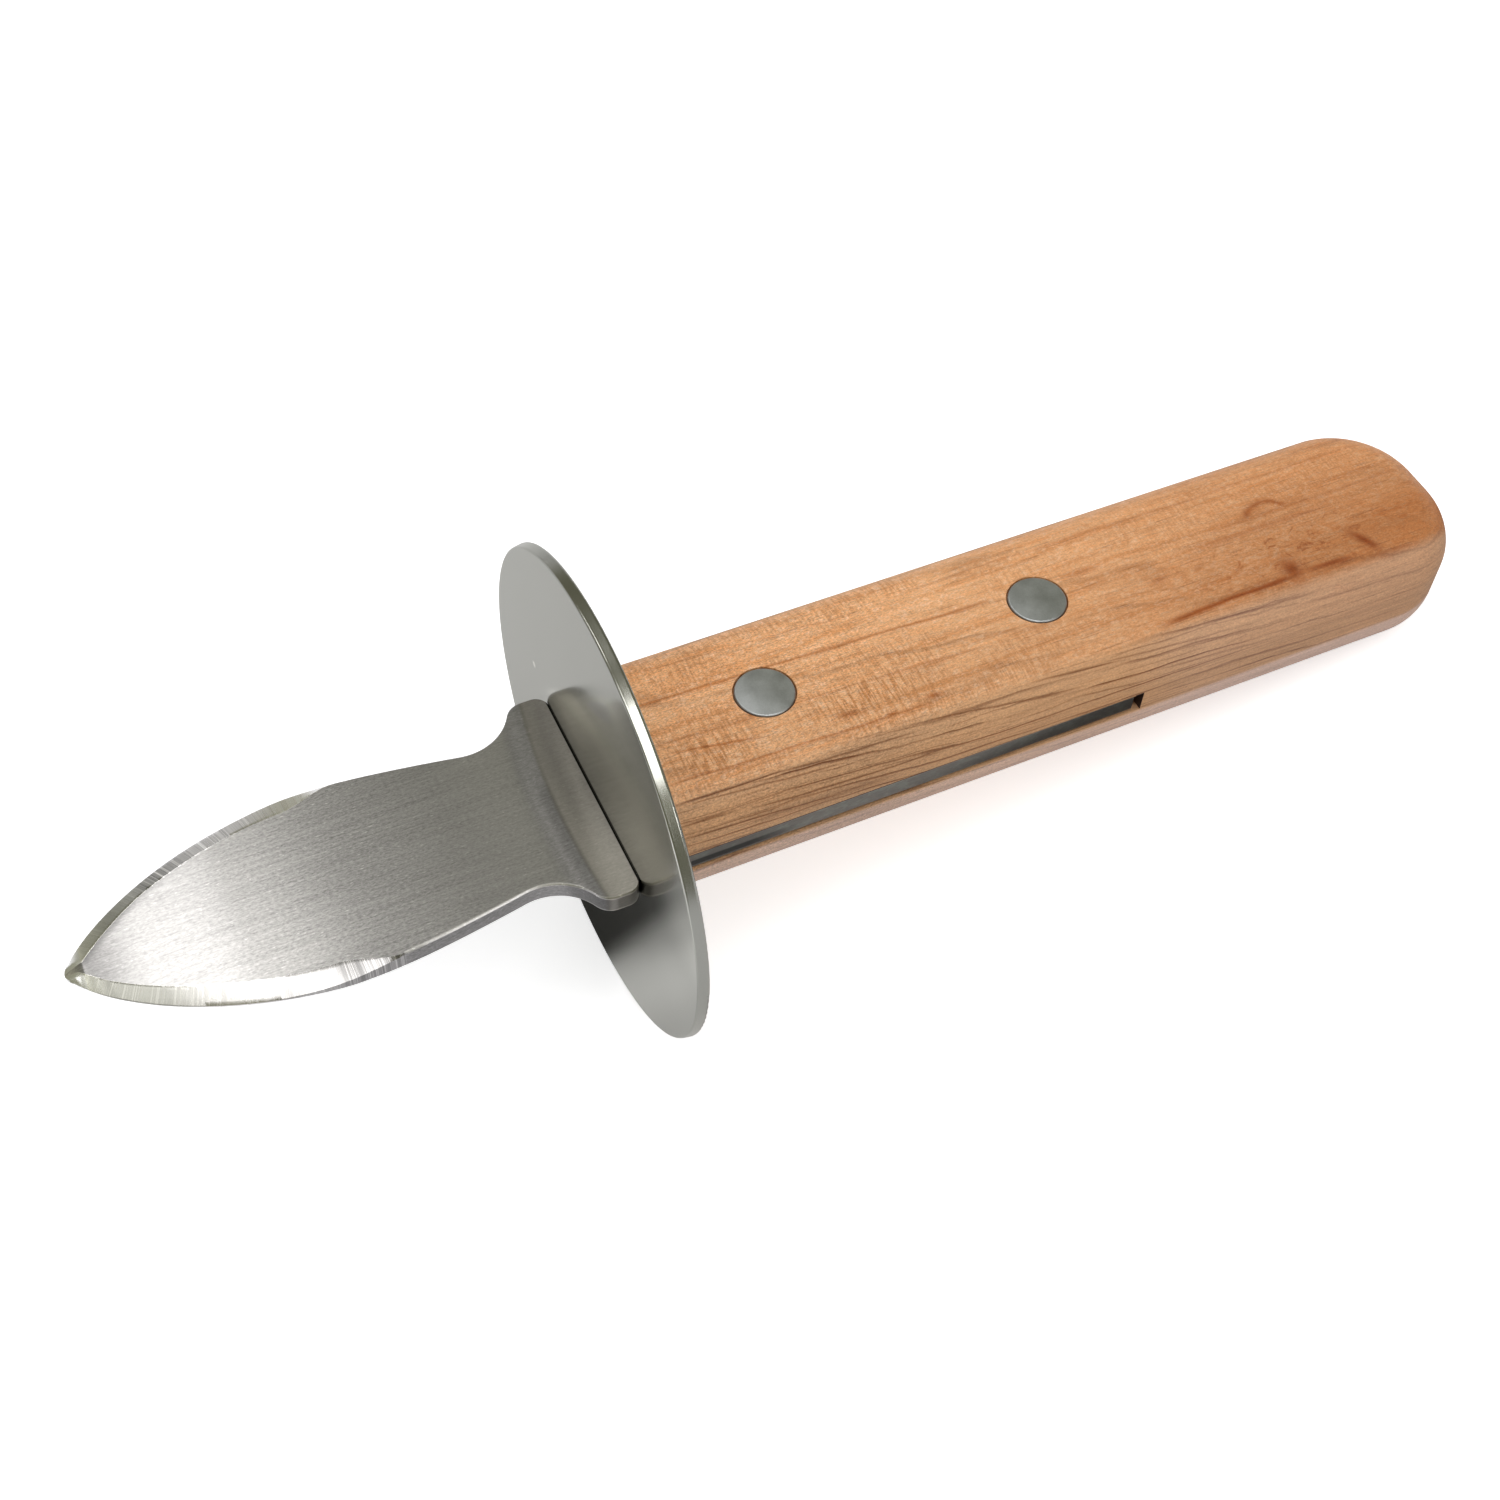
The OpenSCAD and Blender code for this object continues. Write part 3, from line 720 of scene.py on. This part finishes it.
# Grain marks on the upper face and the near side: x, t of the start, x, t of the end and the
# half width in millimetres, then the strength. t runs round the section from the middle of the
# upper face, past the near edge.
STREAKS = (
    (-18.0, -3.25, 20.0, -1.85, 0.20, 0.70), (29.5, -1.55, 33.0, -1.45, 0.35, 0.55),
    (-15.0, -7.1, 7.0, -5.6, 0.14, 0.35), (14.0, -6.2, 28.0, -6.2, 0.18, 0.35),
    (28.0, 0.4, 33.0, 0.4, 0.12, 0.45), (-16.5, 2.0, 16.0, 3.15, 0.12, 0.45),
    (-16.0, 3.4, -8.5, 4.6, 0.16, 0.75), (-16.0, 6.4, -11.0, 7.2, 0.16, 0.65),
    (-18.0, 6.7, 9.0, 7.6, 0.18, 0.65), (0.2, 5.6, 2.2, 5.7, 0.25, 0.80),
    (4.6, 7.3, 5.6, 7.4, 0.28, 0.95), (9.0, 6.9, 10.6, 7.0, 0.30, 0.80),
    (10.0, 3.2, 14.5, 3.2, 0.12, 0.45), (36.0, 7.8, 51.0, 7.4, 0.30, 1.00),
    (37.0, 2.8, 39.0, 2.6, 0.25, 0.55), (44.0, 0.3, 59.0, 0.5, 0.45, 0.35),
    (53.5, 7.3, 58.0, 7.6, 0.32, 0.95), (61.5, 8.0, 66.0, 8.4, 0.25, 0.45),
    (28.0, -6.2, 68.0, -5.9, 0.22, 0.30), (47.0, -1.0, 70.0, -1.2, 0.35, 0.30),
)
SIDE_LINES = (
    (-18.0, 8.75, -7.0, 8.9, 0.11, 0.95), (-7.0, 8.95, 6.0, 9.6, 0.11, 0.80),
    (-16.0, 9.1, -2.0, 10.0, 0.10, 0.70), (-18.0, 10.8, -13.5, 11.0, 0.12, 0.75),
    (-10.4, 11.4, 8.0, 12.5, 0.12, 0.80), (-18.0, 12.0, -2.0, 13.2, 0.14, 0.90),
    (-11.0, 12.7, 3.0, 13.4, 0.55, 0.40), (-18.0, 14.3, -10.0, 14.6, 0.12, 0.60),
    (8.0, 9.0, 24.0, 10.8, 0.10, 0.75), (18.5, 10.3, 22.5, 10.7, 0.15, 0.80),
    (21.0, 8.9, 29.0, 9.7, 0.11, 0.75), (24.0, 11.8, 31.0, 12.6, 0.10, 0.60),
    (28.0, 9.4, 42.0, 10.4, 0.10, 0.55), (40.0, 9.0, 52.0, 9.7, 0.12, 0.60),
    (34.0, 12.0, 48.0, 13.2, 0.11, 0.45), (52.0, 10.6, 68.0, 11.2, 0.12, 0.50),
)


def line_marks(x, t, wobble, table):
    """Short marks along the grain: a bell across each line, faded out at its ends."""
    total = None
    for x0, t0, x1, t1, half, strength in table:
        gap = (t + wobble - t0 - (x - x0) * ((t1 - t0) / (x1 - x0))) / half
        fade = min(2.0, (x1 - x0) / 2)
        bell = (gap * gap * -1.0).call("EXPONENT") * strength
        mark = bell * x.ramp(x0 - fade, x0 + fade) * x.ramp(x1 - fade, x1 + fade, 1.0, 0.0)
        total = mark if total is None else total.call("MAXIMUM", mark)
    return total


def blot(x, t, x0, t0, sharp_x, sharp_t):
    """A round blot that fades like a bell, with its own sharpness along and across the grain."""
    return ((x - x0) * (x - x0) * -sharp_x + (t - t0) * (t - t0) * -sharp_t).call("EXPONENT")


def wood_material(finishes):
    """Sanded hardwood: slanted year rings, streaks, fibres, pores, saw marks and a small knot."""
    s = Sheet("handle_wood")
    mm = s.millimetres()
    x, y, z = s.axes(mm)
    flat_y, flat_z = HANDLE_HIGH.y / MM - EDGE_RADIUS, HANDLE_HIGH.z / MM - EDGE_RADIUS
    out, up = (y * -1.0 - flat_y).call("MAXIMUM", 0.0), (z - flat_z).call("MAXIMUM", 0.0)
    t = (y * -1.0).call("MINIMUM", flat_y) + out.call("ARCTAN2", up) * EDGE_RADIUS
    t = t + (flat_z - z).call("MAXIMUM", 0.0)
    wander = s.noise(mm, (0.02, 0.12, 0.12), 2.0, 0.5)
    ripple = s.noise(mm, (0.09, 0.5, 0.5), 3.0, 0.55)
    swirl = s.noise(mm, (0.30, 0.42, 0.42), 3.0, 0.6, 0.6)
    knot = ((x - 53) * (x - 53) * -0.02 + (y + 4) * (y + 4) * -0.03).call("EXPONENT")
    depth = z + y * 0.30 + x * 0.048 + (wander - 0.5) * 3.2 + (ripple - 0.5) * 1.1
    depth = depth + (swirl - 0.5) * knot * 3.0
    side_fibres = s.noise(mm, (0.12, 1.6, 1.6), 2.0, 0.5)
    ring = (depth / GROWTH + 0.03).call("FRACT")
    late = ring.ramp(0.74, 0.92) * ring.ramp(0.94, 1.0, 1.0, 0.0)
    second = (depth / 0.62 + 0.4).call("FRACT")
    second = second.ramp(0.70, 0.90) * second.ramp(0.92, 1.0, 1.0, 0.0)
    second = second * side_fibres.ramp(0.42, 0.6)
    vigour = s.noise(mm, (0.05, 0.35, 0.35), 2.0, 0.5)
    round_way = y.call("ABSOLUTE") - z.call("ABSOLUTE") - y.ramp(0.0, 6.0) * 1.5
    side = round_way.ramp(1.2, 3.2)
    lines = late * vigour.ramp(0.38, 0.60, 0.2, 1.0) + second * 0.6
    streaks = s.noise(mm, (0.045, 0.85, 0.85), 3.0, 0.55).ramp(0.45, 0.72)
    fibres = s.noise(mm, (0.13, 4.2, 4.2), 3.0, 0.65)
    pores = s.noise(mm, (0.20, 6.5, 6.5), 2.0, 0.5).ramp(0.62, 0.70)
    flecks = s.noise(mm, (1.3, 2.4, 2.4), 2.0, 0.65, 0.8)
    patch = s.noise(mm, (0.08, 0.16, 0.16), 2.0, 0.5).ramp(0.36, 0.60)
    saw = s.noise(mm, (4.2, 0.42, 0.42), 2.0, 0.5).ramp(0.42, 0.60)
    chatter = blot(x, t, 4.0, 4.2, 0.016, 0.12).call("MAXIMUM", blot(x, t, -13.0, 4.5, 0.04, 0.08))
    chatter = chatter.call("MAXIMUM", blot(x, t, -12.0, -5.0, 0.03, 0.15) * 0.7)
    saw = saw * chatter.call("MAXIMUM", patch * 0.6) * (1 - side) * x.ramp(12.0, 30.0, 1.0, 0.45)
    wobble = (ripple - 0.5) * 1.1 + (fibres - 0.5) * 0.35
    facing = z.ramp(-2.6, -1.6)
    painted = line_marks(x, t, wobble, STREAKS)
    reach = ((x - 53.5) * (x - 53.5) + (t + 0.3) * (t + 0.3)).call("SQRT")
    reach = reach - 2.5 + (swirl - 0.5) * 1.5
    bow = (reach * reach * -6.0).call("EXPONENT") * t.ramp(-1.8, -0.8, 1.0, 0.0) * 0.8
    figure = s.noise(mm, (0.45, 0.75, 0.75), 3.0, 0.6, 1.2)
    figured = blot(x, t, 53.0, 4.0, 0.006, 0.04) * facing
    for mark in (blot(x, t, 51.5, 6.6, 0.8, 0.5), blot(x - t * 0.5, t, 57.8, 6.2, 2.5, 0.35),
                 blot(x, t, -7.4, 1.9, 9.0, 9.0), bow, figure.ramp(0.54, 0.70) * figured * 0.75):
        painted = painted.call("MAXIMUM", mark)
    painted = painted * facing
    side_lines = line_marks(x, t, wobble * 0.6, SIDE_LINES) * facing
    warmth = streaks * 0.55 + (fibres - 0.5) * 0.7 + 0.12
    shade = s.mix(warmth, finishes.wood_pale, finishes.wood_warm)
    shade = s.mix(flecks.ramp(0.50, 0.66) * 0.30, shade, finishes.wood_warm)
    shade = s.mix(flecks.ramp(0.48, 0.34) * 0.45 * (1 - side), shade, finishes.wood_light)
    shade = s.mix(saw * 0.9, shade, finishes.wood_warm)
    shade = s.mix(figure.ramp(0.46, 0.34) * figured * 0.7, shade, finishes.wood_light)
    shade = s.mix(side * 0.75, shade, finishes.wood_side)
    dark = lines * (0.26 + side * 0.56) * x.ramp(40.0, 60.0, 1.0, 0.5) + pores * 0.30
    shade = s.mix(dark, shade, finishes.wood_dark)
    shade = s.mix(painted * 0.95, shade, finishes.wood_rust)
    shade = s.mix(side_lines, shade, finishes.wood_dark)
    oiled = x.ramp(5.0, 75.0) * y.ramp(-5.0, 3.0, 1.3, 0.7) * (1 - side * 0.7)
    shade = s.mix(oiled * 0.8, shade, finishes.wood_oiled, "MULTIPLY")
    low = z.ramp(-1.9, -1.2, 1.0, 0.0) * side
    shade = s.mix(low * 0.6 + side * x.ramp(28.0, 40.0) * 0.13, shade, finishes.wood_ash)
    grit = s.noise(mm, (3.6, 6.5, 6.5), 3.0, 0.8)
    light = 1.0 + (grit - 0.5) * x.ramp(0.0, 24.0, 2.1, 1.1) + (fibres - 0.5) * 0.6 - saw * 0.16
    light = light * y.ramp(-11.0, 9.0, 0.83, 1.01)
    light = light * (1 - side * blot(x, t, 0.0, 0.0, 0.012, 0.0) * 0.16)
    light = light * (1 - (1 - side) * x.ramp(34.0, 56.0) * y.ramp(0.0, 6.0, 0.09, 0.04))
    shade = s.scaled(shade, light)
    end = TANG_END_X / MM
    # painted shade inside the saw slot: darkest near the guard and past the tang's end, fading
    # towards the butt
    slot = z.call("ABSOLUTE").ramp(1.26, 1.29, 1.0, 0.0) * x.ramp(end + 1.02, end + 1.08, 1.0, 0.0)
    slot = slot * x.ramp(0.0, 26.0, 1.0, 0.35).call("MAXIMUM", x.ramp(end, end + 0.1))
    shade = s.mix(slot, shade, finishes.slot_shade)
    rough = 0.50 + (fibres - 0.5) * 0.15 + pores * 0.1
    height = fibres * 0.6 + grit * 0.5 - saw * 0.45 - pores * 0.8
    height = height - lines * side * 0.5 + flecks * 0.25
    return s.finish(Base_Color=shade, Roughness=rough, Specular_IOR_Level=0.35,
                    Normal=s.bump(height, 0.45, 0.05 * MM))


class KNIFE_OT_blade(Operator):
    """Builds the ground blade with its shoulder and tang."""
    bl_idname = "knife.blade"
    bl_label = "Blade"

    def execute(self, context):
        settings = context.scene.oyster_knife
        shape = BladeShape(settings.blade)
        rings = shape.rings()
        points = np.concatenate([rings, shape.tang_rings(rings[-1])])
        mesh = loft_mesh("blade_skin", points)
        mark_bevels(mesh, shape)
        material = blade_material(settings.finishes, shape)
        piece = new_piece("blade_dressed", mesh, material, "blade", sharp=25)
        centres = [sum(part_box(node)[i].x for i in (0, 1)) / 2 for node in RIVET_NODES[::2]]
        cut_holes(piece, centres, settings.rivets.sleeve_diameter / 2 + HOLE_GAP)
        return {"FINISHED"}


class KNIFE_OT_guard(Operator):
    """Gives the round guard its satin finish."""
    bl_idname = "knife.guard"
    bl_label = "Guard"

    def execute(self, context):
        settings = context.scene.oyster_knife
        dress("guard", guard_material(settings.finishes, BladeShape(settings.blade)))
        return {"FINISHED"}


class KNIFE_OT_handle(Operator):
    """Gives the wooden handle its grain."""
    bl_idname = "knife.handle"
    bl_label = "Handle"

    def execute(self, context):
        dress("handle", wood_material(context.scene.oyster_knife.finishes))
        return {"FINISHED"}


class KNIFE_OT_rivets(Operator):
    """Builds both halves of the two rivets."""
    bl_idname = "knife.rivets"
    bl_label = "Rivets"

    def execute(self, context):
        settings = context.scene.oyster_knife
        material = rivet_material(settings.finishes)
        for node in RIVET_NODES:
            mesh = rivet_mesh(node + "_skin", node, settings.rivets, node.endswith("sleeve"))
            new_piece(node + "_dressed", mesh, material, node)
        return {"FINISHED"}


class KNIFE_OT_studio(Operator):
    """Sets up the pale floor, the soft lamps and the camera."""
    bl_idname = "knife.studio"
    bl_label = "Studio"

    def execute(self, context):
        settings = context.scene.oyster_knife.studio
        add_floor(settings)
        add_world(settings)
        add_lamp("top_lamp", (-0.25, -0.05, 0.60), (-0.25, -0.05, 0), (0.50, 0.24), settings.top)
        add_lamp("front_lamp", (-0.03, -0.24, 0.60), (-0.02, 0, 0), (0.30, 0.40), settings.front)
        add_lamp("back_lamp", (-0.09, 0.36, 0.60), (-0.09, 0.20, 0), (0.10, 0.36),
                 settings.back, 0.25)
        add_lamp("fill_lamp", (0.27, -0.56, 0.38), (0, 0, 0), (0.26, 0.16), settings.fill)
        add_camera(context.scene, settings)
        context.scene.view_settings.view_transform = "Standard"
        return {"FINISHED"}


def dress(node, material):
    """Gives a node of the frame a material in all its slots."""
    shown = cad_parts[node]
    for slot in shown.material_slots:
        slot.material = material
    if not shown.material_slots:
        shown.data.materials.append(material)


def add_floor(settings):
    """A round floor that the guard's rim and the butt's lower edge rest on.

    Its slope is the line that touches both round edges from below. It is nearly white, and a
    little glow makes it white for the camera. The steel alone sees on it, in front of the guard,
    a painted bright patch that glows and a painted dark shadow.
    """
    s = Sheet("floor_paper")
    camera = s.add("ShaderNodeLightPath", out="Is Camera Ray")
    mirror = s.add("ShaderNodeLightPath", out="Is Glossy Ray")
    mm = s.millimetres()
    x, y, z = s.axes(mm)
    # painted light: a glowing patch on the floor that only the steel sees
    patch = x.ramp(-40.0, -28.0) * y.ramp(-14.0, -7.0) * y.ramp(-6.0, -1.5, 1.0, 0.0)
    slant = y + (x + 28) * 0.4
    # painted shadow on the floor that only the steel sees, near black
    shadow = x.ramp(-37.0, -31.0) * slant.ramp(-3.0, 1.0) * y.ramp(5.0, 11.0, 1.0, 0.0) * mirror
    mottle = s.noise(mm, (0.01, 0.01, 0.01), 2.0, 0.5)
    paper = s.mix(mottle, settings.floor_colour, linear((250, 250, 250)))
    paper = s.mix(shadow * 0.85, paper, linear((30, 30, 22)))
    matt = s.add("ShaderNodeBsdfDiffuse", None, {"Color": paper, "Roughness": 0.5})
    strength = camera * 0.5 + mirror * patch * 0.3
    glow = s.add("ShaderNodeEmission", None, {"Color": (1, 1, 1, 1), "Strength": strength})
    both = s.add("ShaderNodeAddShader", None, (matt, glow))
    s.add("ShaderNodeOutputMaterial", None, {"Surface": both})
    rim, butt = settings.rim_edge, settings.butt_edge
    near = (GUARD_REAR_X - rim, GUARD_LOW.z + rim)
    far = (HANDLE_HIGH.x - butt, HANDLE_LOW.z + butt)
    run, rise = far[0] - near[0], far[1] - near[1]
    slope = math.atan2(rise, run) - math.asin((butt - rim) / math.hypot(run, rise))
    turn = np.linspace(0, 2 * math.pi, AROUND, endpoint=False)
    along = FLOOR_REACH * np.cos(turn)
    x = near[0] + rim * math.sin(slope) + along * math.cos(slope)
    z = near[1] - rim * math.cos(slope) + along * math.sin(slope)
    points = np.stack([x, FLOOR_REACH * np.sin(turn), z], 1)
    mesh = bpy.data.meshes.new("floor_disc")
    mesh.from_pydata(points.tolist(), [], [list(range(AROUND))])
    mesh.materials.append(s.material)
    floor = bpy.data.objects.new("floor", mesh)
    bpy.context.scene.collection.objects.link(floor)


def add_world(settings):
    """White for the camera. Metal sees a white horizon under a dim ceiling, dimmer in front."""
    world = bpy.data.worlds.new("studio_world")
    world.use_nodes = True
    bpy.context.scene.world = world
    s = Sheet(tree=world.node_tree)
    way = s.add("ShaderNodeTexCoord", out="Generated")
    _, back, up = s.axes(way)
    camera = s.add("ShaderNodeLightPath", out="Is Camera Ray")
    mirror = s.add("ShaderNodeLightPath", out="Is Glossy Ray")
    through = s.add("ShaderNodeLightPath", out="Is Transmission Ray")
    dim = up.ramp(-0.02, 0.35, back.ramp(-0.4, 0.2, 0.9, 0.25), 1.0)
    shade = s.mix(dim * mirror, (1, 1, 1), settings.ceiling)
    seen = camera.call("MAXIMUM", through).call("MAXIMUM", mirror)
    strength = seen + (1 - seen) * settings.ambient
    sky = s.add("ShaderNodeBackground", None, {"Color": shade, "Strength": strength})
    s.add("ShaderNodeOutputWorld", None, {"Surface": sky})


def add_lamp(name, place, target, size, power, turn=0.0):
    """A soft rectangular lamp that faces the target, turned about its own axis."""
    lamp = bpy.data.lights.new(name, "AREA")
    lamp.shape = "RECTANGLE"
    lamp.size, lamp.size_y = size
    lamp.energy = power
    holder = bpy.data.objects.new(name, lamp)
    bpy.context.scene.collection.objects.link(holder)
    holder.location = place
    way = Vector(target) - Vector(place)
    facing = way.to_track_quat("-Z", "Y") @ Quaternion((0, 0, 1), turn)
    holder.rotation_euler = facing.to_euler()


def add_camera(scene, settings):
    """A camera at the photograph's viewing angle."""
    data = bpy.data.cameras.new("camera")
    data.lens = settings.lens
    data.sensor_width = 36.0
    data.clip_start = 0.01
    camera = bpy.data.objects.new("camera", data)
    scene.collection.objects.link(camera)
    camera.location = settings.camera_place
    camera.rotation_euler = settings.camera_turn
    scene.camera = camera


class KNIFE_PT_panel(Panel):
    """Lists the knife's builders in the sidebar."""
    bl_idname = "KNIFE_PT_panel"
    bl_label = "Oyster Knife"
    bl_space_type = "VIEW_3D"
    bl_region_type = "UI"
    bl_category = "Knife"

    def draw(self, context):
        for step in STEPS:
            self.layout.operator(step.bl_idname)
        settings = context.scene.oyster_knife
        for group in (settings.blade, settings.rivets, settings.finishes, settings.studio):
            for name in group.bl_rna.properties.keys():
                if name not in ("rna_type", "name"):
                    self.layout.prop(group, name)


STEPS = (KNIFE_OT_studio, KNIFE_OT_blade, KNIFE_OT_guard, KNIFE_OT_handle, KNIFE_OT_rivets)
CLASSES = (BladeSizes, RivetSizes, Finishes, StudioSettings, KnifeSettings, *STEPS, KNIFE_PT_panel)


def register():
    for each in CLASSES:
        bpy.utils.register_class(each)
    bpy.types.Scene.oyster_knife = PointerProperty(type=KnifeSettings)


def unregister():
    del bpy.types.Scene.oyster_knife
    for each in reversed(CLASSES):
        bpy.utils.unregister_class(each)


def main():
    """Registers the add-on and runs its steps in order."""
    register()
    for step in (bpy.ops.knife.studio, bpy.ops.knife.blade, bpy.ops.knife.guard,
                 bpy.ops.knife.handle, bpy.ops.knife.rivets):
        step()


if __name__ == "__main__":
    main()
